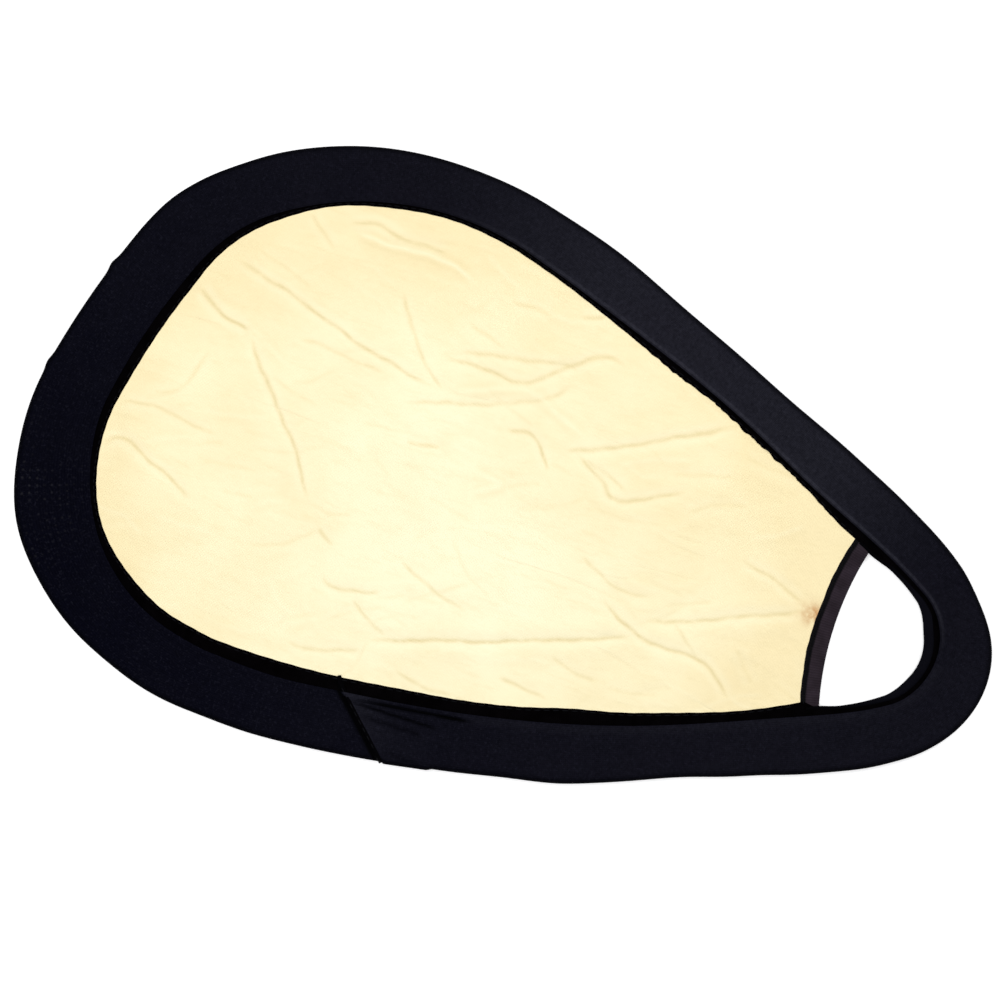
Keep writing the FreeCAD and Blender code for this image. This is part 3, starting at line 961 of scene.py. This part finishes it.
def line_distance(x, y, line):
    """Distance from a line, and how far along it the nearest place is, from 0 to 1."""
    lengths = np.hypot(*np.diff(line, axis=0).T)
    starts = np.concatenate([[0.0], np.cumsum(lengths)])
    nearest = np.full(x.shape, np.inf)
    share = np.zeros(x.shape)
    for start_length, length, start, end in zip(starts, lengths, line, line[1:]):
        distance, part = segment_distance(x, y, start, end)
        closer = np.abs(distance) < nearest
        nearest = np.where(closer, np.abs(distance), nearest)
        place = (start_length + np.clip(part, 0, 1) * length) / starts[-1]
        share = np.where(closer, place, share)
    return nearest, share


def face_fields(x, y):
    """Height of the faces' creases, and how much painted shade each place gets in a crease and painted
    highlight beside it or on a ridge.
    """
    generator = np.random.default_rng(SEED)
    height, painted_light_marks, raised = (np.zeros_like(x) for _ in range(3))
    x_bent = x + 0.5 * np.sin(0.17 * y + 0.11 * x) + 0.25 * np.sin(0.41 * y - 0.3 * x)
    y_bent = y + 0.5 * np.sin(0.15 * x - 0.08 * y) + 0.25 * np.sin(0.37 * x + 0.2 * y)
    for strength, points in CREASES + tuple(random_creases(generator)):
        line = smooth_line(points)
        low, high = line.min(0) - CREASE_REACH, line.max(0) + CREASE_REACH
        near = (x > low[0]) & (x < high[0]) & (y > low[1]) & (y < high[1])
        distance, share = line_distance(x_bent[near], y_bent[near], line)
        strength_here = strength * between(share, -0.02, 0.14, 0.86, 1.02)
        height[near] -= 0.45 * strength_here * np.exp(-distance / 4.5)
        height[near] += 0.28 * strength_here * bump_at(distance, 7.0, 5.0)
        core = strength_here * bump_at(distance, 0, CREASE_HALF_WIDTH)
        side = 0.4 * strength_here * bump_at(distance, 3.4, 2.2)
        # painted shade in a crease's core and painted highlight beside it, the other way round on a
        # ridge
        painted_light_marks[near] = np.maximum(painted_light_marks[near], np.maximum(core, -side))
        raised[near] = np.maximum(raised[near], np.maximum(-core, side))
    height += 0.25 * np.sin(x / 37 + 1) * np.sin(y / 29 + 2)
    height += 0.12 * np.sin((x + 0.5 * y) / 15) * np.sin((y - 0.3 * x) / 19)
    return height, np.clip(painted_light_marks, 0, 1), np.clip(raised, 0, 1)


def face_grid():
    """Columns of points across the panel, from its wide end to its end at the hand opening."""
    along = np.arange(0, PERIMETER, 0.5)
    border = rim_point(along, lip_inset(along) - TAPE_OVERLAP)
    wide_end = border[:, 0].argmin()
    upper, lower = border[:wide_end], border[wide_end:]
    x_from = border[wide_end, 0] + EDGE_MARGIN
    x_to = END_CENTRE[0] - END_RADIUS - 1.0
    columns = round((x_to - x_from) / FACE_STEP)
    x = np.linspace(x_from, x_to, columns)
    y_top = np.interp(-x, -upper[:, 0], upper[:, 1])
    y_bottom = np.interp(x, lower[:, 0], lower[:, 1])
    rows = round((y_top - y_bottom).max() / FACE_STEP)
    y = y_bottom[:, None] + (y_top - y_bottom)[:, None] * np.linspace(0, 1, rows)
    x_end = END_CENTRE[0] - np.sqrt((END_RADIUS + 1.0) ** 2 - (y - END_CENTRE[1]) ** 2)
    x = x[:, None] + (x_end - x_to) * smooth(x, x_to - END_PULL, x_to)[:, None]
    return x, y


def distance_inside(x, y):
    """Roughly how far inside the edging's inner edge, and the end tape, each place is."""
    along = np.arange(0, PERIMETER, 4.0)
    border = rim_point(along, face_inset(along))
    nearest = np.full(x.shape, np.inf)
    outside = np.zeros(x.shape, bool)
    for (border_x, border_y), (facing_x, facing_y) in zip(border, unit(normal_angle(along))):
        nearest = np.minimum(nearest, np.hypot(x - border_x, y - border_y))
        outside |= (x - border_x) * facing_x + (y - border_y) * facing_y > 0
    from_end = np.hypot(x - END_CENTRE[0], y - END_CENTRE[1]) - END_RADIUS - END_TAPE_WIDTH
    return np.minimum(np.where(outside, 0, nearest), np.maximum(from_end, 0))


def make_faces():
    """The gold and the white face, back to back, as cloth with the same creases."""
    x, y = face_grid()
    relief, painted_light_marks, raised = face_fields(x, y)
    inside = distance_inside(x, y)
    relief = relief * smooth(inside, 0.5, FACE_EDGE_SLACK)
    spot = bump_at(np.hypot(x - SPOT[0], (y - SPOT[1]) * 1.1), 0, 6.5)
    faces = []
    across = np.arange(x.shape[1])
    hidden = np.unique(np.append(across[::HIDDEN_SHARE], across[-1]))
    for colour, material, low, high, front, back in (
        ("gold", gold_cloth, 0.0, PANEL, across, hidden),
        ("white", white_cloth, -PANEL, 0.0, hidden, across),
    ):
        section = np.concatenate([front, back[::-1]])
        height = MIDDLE_Z + relief[:, section]
        height[:, : len(front)] += high
        height[:, len(front) :] += low
        grid = np.dstack([x[:, section], y[:, section], height])
        places = len(section) - 1
        match = [(front.tolist().index(k), places - back.tolist().index(k)) for k in hidden]
        piece = piece_from_grid(f"{colour}_face", grid, material, pairs=match)
        # crease carries the painted shade, ridge the painted highlight
        store_values(piece, crease=painted_light_marks[:, section], ridge=raised[:, section], spot=spot[:, section])
        bend(piece)
        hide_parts(f"{colour}_panel_wide", f"{colour}_panel_handle")
        faces.append(piece)
    return faces


# ---- Edging ----
EDGING_RIDGE = 0.12
TOOTH_ZONE = (150.0, 170.0, 295.0, 335.0)  # along the rim, as between() takes it


def toothed(along):
    """The edging's ragged inner edge, coarse along the upper side of the handle end."""
    coarse = between(along, *TOOTH_ZONE)
    ragged = np.sin(along / 1.9 + 2.5 * np.sin(along / 7.9)) * np.sin(along / 9.3 + 1.0)
    ragged += 0.5 * np.sin(along / 1.13 + 3 * np.sin(along / 5.1))
    stepped = np.tanh(4 * np.sin(along / 14.7)) * np.sin(along / 23.0 + 2.0)
    calm = 0.08 * np.sin(along / 2.3) + 0.12 * np.sin(along / 15.0)
    return calm + coarse * (0.42 * ragged + 0.5 * stepped)


def end_crossings():
    """Places along the rim where the end tape's middle line passes under the lip."""
    along = np.arange(0, PERIMETER, 0.25)
    under = rim_point(along, lip_inset(along))
    radius = np.hypot(*(under - END_CENTRE).T)
    inside = radius < END_RADIUS + END_TAPE_WIDTH / 2
    changes = np.flatnonzero(inside[1:] != inside[:-1])
    return along[changes[0]], along[changes[-1]]


UPPER_END, LOWER_END = end_crossings()


def edging_inset(along):
    """Inset of the edging's inner edge: on the faces, and round the opening inside its hem."""
    from_tip, on_upper_side = tip_distance(along)
    ends = np.where(on_upper_side, UPPER_END, PERIMETER - LOWER_END)
    on_face = smooth(from_tip - ends, -7.0, 3.0)
    round_opening = hem_inset(along) - HEM_COVER
    return round_opening + (face_inset(along) + toothed(along) - round_opening) * on_face


def make_edging(side, sign):
    """The tape that binds the panel's edge and the opening, on one side."""
    along = np.arange(0, PERIMETER, 1.6)
    inner = edging_inset(along)
    outer = lip_inset(along) - TAPE_OVERLAP
    share = np.array([0, 0.03, 0.1, 0.3, 0.5, 0.7, 0.9, 0.97, 1.0])
    dome = TAPE * (1 - 0.5 * np.abs(2 * share - 1) ** 6)
    upper_inset = outer[:, None] + (inner - outer)[:, None] * share
    upper = np.tile(PANEL + dome, (len(along), 1))
    ripple = 0.5 + 0.5 * np.sin(along / 2.6)
    upper += EDGING_RIDGE * np.outer(ripple, bump_at(share, 0.86, 0.08))
    upper = np.where(share[None, :] < 0.55, np.minimum(upper, LAYERS), upper)
    lower = np.full_like(upper, PANEL)
    inset = np.hstack([upper_inset, upper_inset[:, ::-1]])
    height = sign * np.hstack([upper, lower])
    piece = piece_from_grid(
        f"edging_{side}",
        place_section(along, inset, height),
        edging_tape,
        ring=True,
        uv=(np.append(along, PERIMETER), section_lengths(inset[0], height[0])),
    )
    bend(piece)
    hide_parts(f"edging_{side}_wide", f"edging_{side}_handle")
    return piece


# ---- Stitches ----
STITCH_LENGTH = 4.2
STITCH_PITCH = 6.0
STITCH_HALF_WIDTH = 0.4
STITCH_FROM_EDGE = 1.5
STITCH_LIFT = 0.12


def stitch_grid(start, end, lift):
    """One stitch as a tube that rises from the cloth at its ends, from two points in plan."""
    ring = np.linspace(0, 2 * math.pi, 7)[:-1]
    direction = (end - start) / np.hypot(*(end - start))
    across = np.array([-direction[1], direction[0]])
    rows = []
    for share in np.linspace(0, 1, 7):
        bow = math.sin(math.pi * share)
        size = 0.35 + 0.65 * bow**0.5
        side = STITCH_HALF_WIDTH * size * np.cos(ring)
        flat = start + (end - start) * share + np.outer(side, across)
        rows.append(np.column_stack([flat, lift * bow + 0.2 * size * np.sin(ring)]))
    return np.array(rows)


def panel_stitch(ends, sign):
    """One stitch through the panel's tapes, in front with sign 1 and behind with -1."""
    grid = stitch_grid(*ends, STITCH_LIFT)
    grid[..., 2] = MIDDLE_Z + sign * (LAYERS + STITCH_LIFT + grid[..., 2])
    return grid if sign > 0 else grid[:, ::-1]


def stitch_piece(name, grids):
    """All these stitches as one piece."""
    points, faces = [], []
    for grid in grids:
        rows, places = grid.shape[:2]
        base = len(points)
        far = base + (rows - 1) * places
        row_corners, place_corners = grid_corners(rows, places, False)
        faces += (base + row_corners * places + place_corners % places).tolist()
        faces += [list(range(base, base + places))[::-1], list(range(far, far + places))]
        points += (grid.reshape(-1, 3) * MM).tolist()
    mesh = bpy.data.meshes.new(name)
    mesh.from_pydata(points, [], faces)
    mesh.shade_smooth()
    mesh.materials.append(thread)
    piece = link_object(name, mesh)
    return piece


def make_edging_stitches(side, sign):
    """The row of stitches that holds the edging to the faces."""
    grids = []
    for start in np.arange(UPPER_END + 8, LOWER_END - 12, STITCH_PITCH):
        along = np.array([start, start + STITCH_LENGTH])
        ends = rim_point(along, face_inset(along) - STITCH_FROM_EDGE)
        grids.append(panel_stitch(ends, sign))
    piece = stitch_piece(f"edging_stitches_{side}", grids)
    bend(piece)
    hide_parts(f"edging_stitches_{side}_wide", f"edging_stitches_{side}_handle")
    return piece


# ---- Hand opening ----
HEM_HALF = 1.9
HEM_END_HALF = 1.0
HEM_WIDTH = 6.4
HEM_END_WIDTH = 2.4
HEM_SWELLS = (12.0, 70.0)  # distances from the hem's ends between which it thickens


def make_opening_hem():
    """The rolled hem of the opening: slim where it meets the end tape, full round the tip."""
    along = np.arange(LOWER_END - 1, PERIMETER + UPPER_END + 1, 1.2)
    inner = hem_inset(along)
    from_ends = np.minimum(along - along[0], along[-1] - along)
    full = smooth(from_ends, *HEM_SWELLS)
    room = inner - lip_inset(along) - HEM_GROOVE
    width = np.minimum(HEM_END_WIDTH + (HEM_WIDTH - HEM_END_WIDTH) * full, room)
    half = HEM_END_HALF + (HEM_HALF - HEM_END_HALF) * full
    turn = np.linspace(0, 2 * math.pi, 25)[:-1]
    across = np.sign(np.cos(turn)) * np.abs(np.cos(turn)) ** 0.75
    inset = (inner - width / 2)[:, None] + np.outer(width / 2, across)
    height = np.outer(half + 0.07 * np.sin(along / 3.3), np.sin(turn))
    piece = piece_from_grid(
        "opening_hem",
        place_section(along, inset, height),
        hem_cloth,
        uv=(np.append(along, along[-1]), section_lengths(inset[90], height[90])),
        crisp=70,
    )
    store_values(piece, full=np.repeat(full, len(turn)))
    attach(piece, "handle_half")
    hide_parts("opening_piping")


def end_arc_angles():
    """The angles between which the end tape runs, from its upper end to its lower."""
    ends = np.array([UPPER_END, LOWER_END])
    offset = rim_point(ends, lip_inset(ends) - TAPE_OVERLAP) - END_CENTRE
    return np.arctan2(offset[:, 1], offset[:, 0]) % (2 * math.pi)


TAPE_SLIPS_UNDER = 7.0  # length of the end tape's ends, which lie flat under the edging
TAPE_OVERHANG = 0.6  # how far the tape reaches beyond the panel's end
TAPE_BULGES = ((0.5, 0.25, 0.06), (0.7, 0.62, 0.09))  # extra width, share of the length, half angle


def make_end_tape():
    """The tape folded over the panel's end at the hand opening."""
    first, last = end_arc_angles()
    angle = np.linspace(first, last, 150)
    along = np.abs(angle - first) * END_RADIUS
    wave = 0.12 * np.sin(angle * 60) + 0.08 * np.sin(angle * 143)
    slim = smooth(along, TAPE_SLIPS_UNDER, TAPE_SLIPS_UNDER + 4)
    slim *= smooth(along[-1] - along, TAPE_SLIPS_UNDER + 2, TAPE_SLIPS_UNDER + 6)
    slim = 0.04 + 0.96 * slim
    share = np.array([0, 0.02, 0.08, 0.2, 0.4, 0.6, 0.8, 0.92, 1.0])
    width = END_TAPE_WIDTH + TAPE_OVERHANG + wave
    for extra, place, half_angle in TAPE_BULGES:
        width += extra * bump_at(angle, first + place * (last - first), half_angle)
    outward = END_RADIUS - TAPE_OVERHANG + width[:, None] * (1 - share)
    crown = np.where(share < 0.5, 1.0, np.sqrt(np.clip(1 - ((share - 0.5) / 0.5) ** 4, 0, 1)))
    crown = crown * (1 - 0.35 * np.exp(-share / 0.05))
    upper = PANEL + TAPE * np.outer(slim, crown)
    upper[:, -1] = 0.12
    upper += 0.12 * np.outer(slim * np.sin(angle * 260), bump_at(share, 0.12, 0.1))
    inner = np.full((len(angle), len(share)), PANEL + 0.02)
    inner_outward = np.maximum(outward, END_RADIUS + 0.4)
    inner[:, -3:] = np.array([0.3, 0.2, 0.1])
    radius = np.hstack([outward, outward[:, ::-1], inner_outward, inner_outward[:, ::-1]])
    height = np.hstack([upper, -upper[:, ::-1], -inner, inner[:, ::-1]])
    flat = END_CENTRE + radius[..., None] * unit(angle)[:, None, :]
    piece = piece_from_grid(
        "end_tape",
        at_height(flat, height),
        end_tape,
        uv=(np.append(along, along[-1]), section_lengths(radius[20], height[20])),
    )
    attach(piece, "handle_half")
    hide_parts("panel_end_tape")
    return piece


def make_end_stitches():
    """The stitches along the end tape's edge on the faces, front and back."""
    first, last = end_arc_angles()
    radius = END_RADIUS + END_TAPE_WIDTH - 2.0
    one_mm = math.copysign(1 / radius, last - first)
    margin = 9.0 * one_mm
    grids = []
    for angle in np.arange(first + margin, last - margin, STITCH_PITCH * one_mm):
        ends = END_CENTRE + radius * unit(np.array([angle, angle + STITCH_LENGTH * one_mm]))
        grids += [panel_stitch(ends, sign) for sign in (1, -1)]
    piece = stitch_piece("end_stitches", grids)
    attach(piece, "handle_half")
    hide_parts("panel_end_stitches")
    return piece


# ---- Lap ----
LAP_WIDTH = 3.2
LAP_THICKNESS = 0.3
LAP_STITCH_PITCH = 5.5
LAP_STITCH_LENGTH = 3.4
LAP_STITCH_SIDE = 1.5  # distance of the stitches from the lap's edge
LAP_LENGTH = math.hypot(*(LAP_TO - LAP_FROM))
LAP_ALONG = (LAP_TO - LAP_FROM) / LAP_LENGTH
LAP_ACROSS = np.array([-LAP_ALONG[1], LAP_ALONG[0]])


def rim_top(x, y):
    """Height of the rim cloth's front at these places near the lap."""
    along = np.arange(1040, 1260, 0.5)
    border = rim_point(along, 0.0)
    nearest = ((x[..., None] - border[:, 0]) ** 2 + (y[..., None] - border[:, 1]) ** 2).argmin(-1)
    place = along[nearest]
    facing = unit(normal_angle(place))
    inset = (border[nearest, 0] - x) * facing[..., 0] + (border[nearest, 1] - y) * facing[..., 1]
    skins = zip(inset.ravel(), *upper_skin(place.ravel(), 0.0, SKIN_COUNTS))
    plain = [np.interp(at, insets[::-1], heights[::-1]) for at, insets, heights in skins]
    return np.reshape(plain, x.shape) + rim_relief(place, inset, x, y)[0]


def thin_sheet(flat, lower, upper):
    """A grid of points over the top of a thin sheet and back under it."""
    return np.concatenate([at_height(flat, upper), at_height(flat, lower)[:, ::-1]], axis=1)


def make_lap_hem():
    """The folded end of the rim cloth, lying diagonally over its other end."""
    along = np.linspace(1.5, LAP_LENGTH - 1.0, 46)
    offset = np.array([-0.5, -0.3, 0.1, 0.6, 1.1, 1.6, 2.1, 2.6, 3.0, LAP_WIDTH])
    ragged = 0.35 * np.sin(along / 2.7) + 0.25 * np.sin(along / 6.1)
    side = offset + ragged[:, None] * (1 - offset / LAP_WIDTH)
    flat = LAP_FROM + along[:, None, None] * LAP_ALONG + side[..., None] * LAP_ACROSS
    surface = rim_top(flat[..., 0], flat[..., 1])
    roll = 0.15 * bump_at(offset, 0.4, 1.0)
    thick = LAP_THICKNESS * (1 - smooth(offset, 1.2, LAP_WIDTH)) + roll
    thick[0] = 0.05
    upper = surface + thick - 0.05 * smooth(offset, 2.2, LAP_WIDTH)
    grid = thin_sheet(flat, surface - 0.15, upper)
    uv_across = np.concatenate([offset, offset[::-1], offset[:1]])
    piece = piece_from_grid(
        "lap_hem", grid, hem_cloth, uv=(np.append(along, along[-1]) + 1100, uv_across), crisp=60
    )
    bend(piece)
    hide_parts("binding_lap_hem")
    return piece


def make_lap_stitches():
    """The short stitches that hold the lap down."""
    grids = []
    for start in np.arange(6.0, LAP_LENGTH - 9.0, LAP_STITCH_PITCH):
        places = np.outer([start, start + LAP_STITCH_LENGTH], LAP_ALONG)
        ends = LAP_FROM + LAP_ACROSS * LAP_STITCH_SIDE + places
        heights = rim_top(ends[:, 0], ends[:, 1]) + LAP_THICKNESS
        grid = stitch_grid(*ends, 0.1)
        grid[..., 2] += MIDDLE_Z + np.linspace(*heights, len(grid))[:, None]
        grids.append(grid)
    piece = stitch_piece("lap_stitches", grids)
    bend(piece)
    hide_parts("binding_lap_stitches")
    return piece


TAB_MIDDLE = np.array([-67.4, -137.6])
TAB_HEADING = math.radians(-60)
TAB_HALF = (4.0, 2.0)


def make_lap_tab():
    """The corner of cloth that sticks out of the mouth at the lap."""
    along_axis = unit(TAB_HEADING)
    across_axis = unit(TAB_HEADING + math.pi / 2)
    length = np.linspace(-1, 1, 15)
    width = np.array([-1, -0.9, -0.5, 0, 0.5, 0.9, 1.0])
    taper = 0.55 + 0.45 * smooth(length, -1.0, 0.3)
    curl = 0.35 * smooth(-length, 0.2, 1.0)
    along_part = (length * TAB_HALF[0])[:, None, None] * along_axis
    across_part = (taper[:, None] * width * TAB_HALF[1])[..., None] * across_axis
    upper = LAYERS + 0.12 + curl[:, None] + 0.32 * (1 - width**6)
    lower = np.full_like(upper, LAYERS + 0.06) + curl[:, None]
    grid = thin_sheet(TAB_MIDDLE + along_part + across_part, lower, upper)
    uv_across = np.concatenate([width, width[::-1], width[:1]]) * TAB_HALF[1]
    piece = piece_from_grid(
        "lap_tab", grid, hem_cloth, uv=(np.append(length, 1) * TAB_HALF[0], uv_across)
    )
    bend(piece)
    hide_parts("binding_lap_tab")
    return piece


# ---- Camera, light and floor ----
CAMERA_ABOVE = np.array([-13.45, 0.7])
FIELD_WIDTH = 613.6
LENS = 85.0
SENSOR = 36.0
CAMERA_TURN = math.radians(20)


def make_camera():
    """Straight down on the reflector, turned so that its long axis slopes down to the right."""
    data = bpy.data.cameras.new("camera")
    data.lens = LENS
    data.sensor_width = SENSOR
    camera = link_object("camera", data)
    above = FIELD_WIDTH * LENS / SENSOR
    camera.location = (*(CAMERA_ABOVE * MM), (MIDDLE_Z + 1 + above) * MM)
    camera.rotation_euler = (0, 0, CAMERA_TURN)
    bpy.context.scene.camera = camera


def area_light(name, location, size, power):
    """A soft square light that faces the reflector."""
    data = bpy.data.lights.new(name, "AREA")
    data.shape = "SQUARE"
    data.size = size
    data.energy = power
    light = link_object(name, data)
    light.location = location
    light.rotation_euler = (-light.location).to_track_quat("-Z", "Y").to_euler()


FLOOR_GAP = 0.0002  # keeps the floor clear of the rim's underside


def make_floor():
    """A plain pale floor, bright enough to read as white."""
    mesh = bpy.data.meshes.new("floor")
    half = 6.0
    z = -FLOOR_GAP
    corners = [(-half, -half, z), (half, -half, z), (half, half, z), (-half, half, z)]
    mesh.from_pydata(corners, [], [(0, 1, 2, 3)])
    material, _, shader = start_material("floor", 0.9, specular_ior_level=0.1)
    shader.inputs["Base Color"].default_value = (0.9, 0.9, 0.91, 1)
    shader.inputs["Emission Color"].default_value = (1, 1, 1, 1)
    shader.inputs["Emission Strength"].default_value = 0.35
    mesh.materials.append(material)
    link_object("floor", mesh)


def make_light():
    """A high soft light, and a lower one from the upper right of the picture for the sheen."""
    area_light("overhead", (-0.5, -0.25, 2.2), 2.2, 43)
    area_light("upper_right", (0.75, 1.45, 1.0), 0.9, 18)
    world = bpy.data.worlds.new("world")
    bpy.context.scene.world = world
    world.use_nodes = True
    background = world.node_tree.nodes["Background"]
    background.inputs["Color"].default_value = (1.0, 1.0, 1.0, 1)
    background.inputs["Strength"].default_value = 0.25
    bpy.context.scene.view_settings.view_transform = "Standard"


# ---- The reflector ----
rim = make_rim_cloth()
make_hoop()
gold, white = make_faces()
edging_front = make_edging("front", 1)
edging_back = make_edging("back", -1)
front_stitches = make_edging_stitches("front", 1)
back_stitches = make_edging_stitches("back", -1)
make_opening_hem()
tape = make_end_tape()
tape_stitches = make_end_stitches()
lap_pieces = [make_lap_hem(), make_lap_stitches(), make_lap_tab()]

for node_name in ("hoop_joint_sleeve", "hoop_joint_rivets"):
    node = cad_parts[node_name]
    node.data.materials.clear()
    node.data.materials.append(plated_steel)

make_camera()
make_light()
make_floor()
